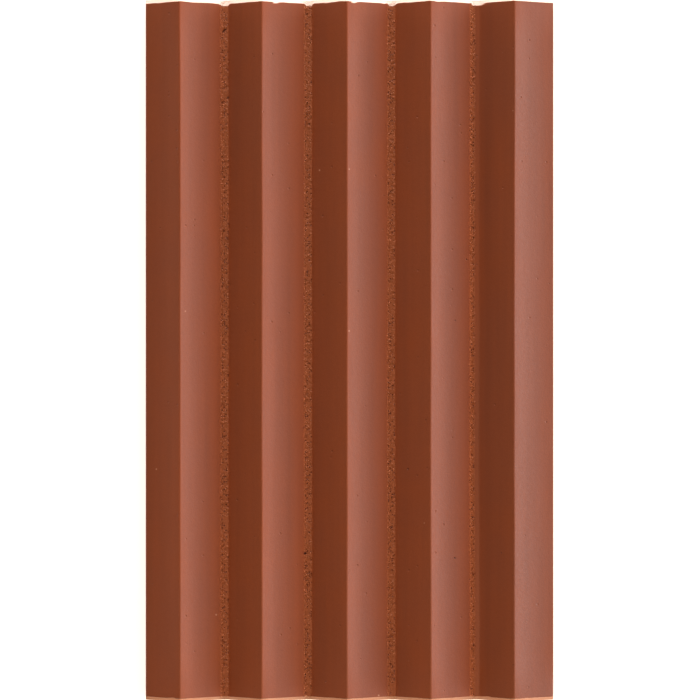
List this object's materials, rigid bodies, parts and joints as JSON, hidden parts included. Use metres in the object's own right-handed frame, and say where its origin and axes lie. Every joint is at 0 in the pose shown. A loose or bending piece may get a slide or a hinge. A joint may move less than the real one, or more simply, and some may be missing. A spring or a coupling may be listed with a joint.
{
  "type": "relief wall tile",
  "caption": "Rectangular unglazed porcelain tile with parallel ribs of triangular section on its face and rough mock joints between them, for cladding walls.",
  "frame": {"origin": "centre of the bounding box at the level of the flat back", "axes": "+Z from the back out of the ribbed face, +Y along the ribs, +X across them"},
  "size_m": [0.1836, 0.315, 0.0178],
  "materials": {
    "porcelain": "matte unglazed, terracotta red-brown"
  },
  "bodies": {
    "root": {"ribbed_tile": "porcelain"}
  },
  "joints": []
}
